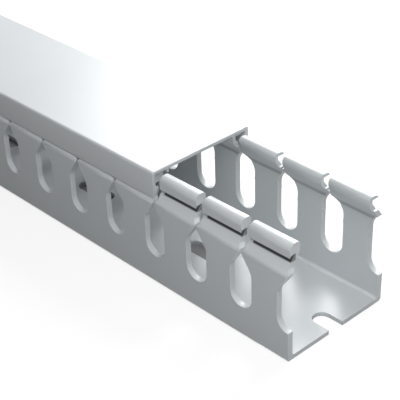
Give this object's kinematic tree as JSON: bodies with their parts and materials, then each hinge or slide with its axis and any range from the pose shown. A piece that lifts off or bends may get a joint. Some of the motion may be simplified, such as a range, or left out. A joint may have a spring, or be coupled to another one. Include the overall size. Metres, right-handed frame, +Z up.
{
  "type": "slotted wire duct",
  "caption": "Slotted wire duct: a U-shaped trunking base with hooked finger walls and screw slots, and a flat clip-on cover set back from the near end.",
  "frame": {"origin": "in the plane of the base's underside, on its centre line, below the middle of the base and cover as they lie together", "axes": "+X along the duct towards the end that the cover leaves open, +Y across it, +Z up out of the open top"},
  "size_m": [0.56, 0.045, 0.043],
  "materials": {
    "duct_pvc": "satin extruded rigid PVC, light grey",
    "cover_pvc": "satin extruded rigid PVC, light grey"
  },
  "bodies": {
    "base": {"slotted_base": "duct_pvc"},
    "cover": {"duct_cover": "cover_pvc"}
  },
  "joints": [
    {"name": "cover_slide", "type": "slide", "parent": "base", "child": "cover", "axis": [1, 0, 0], "range_m": [-0.4, 0.06]}
  ]
}
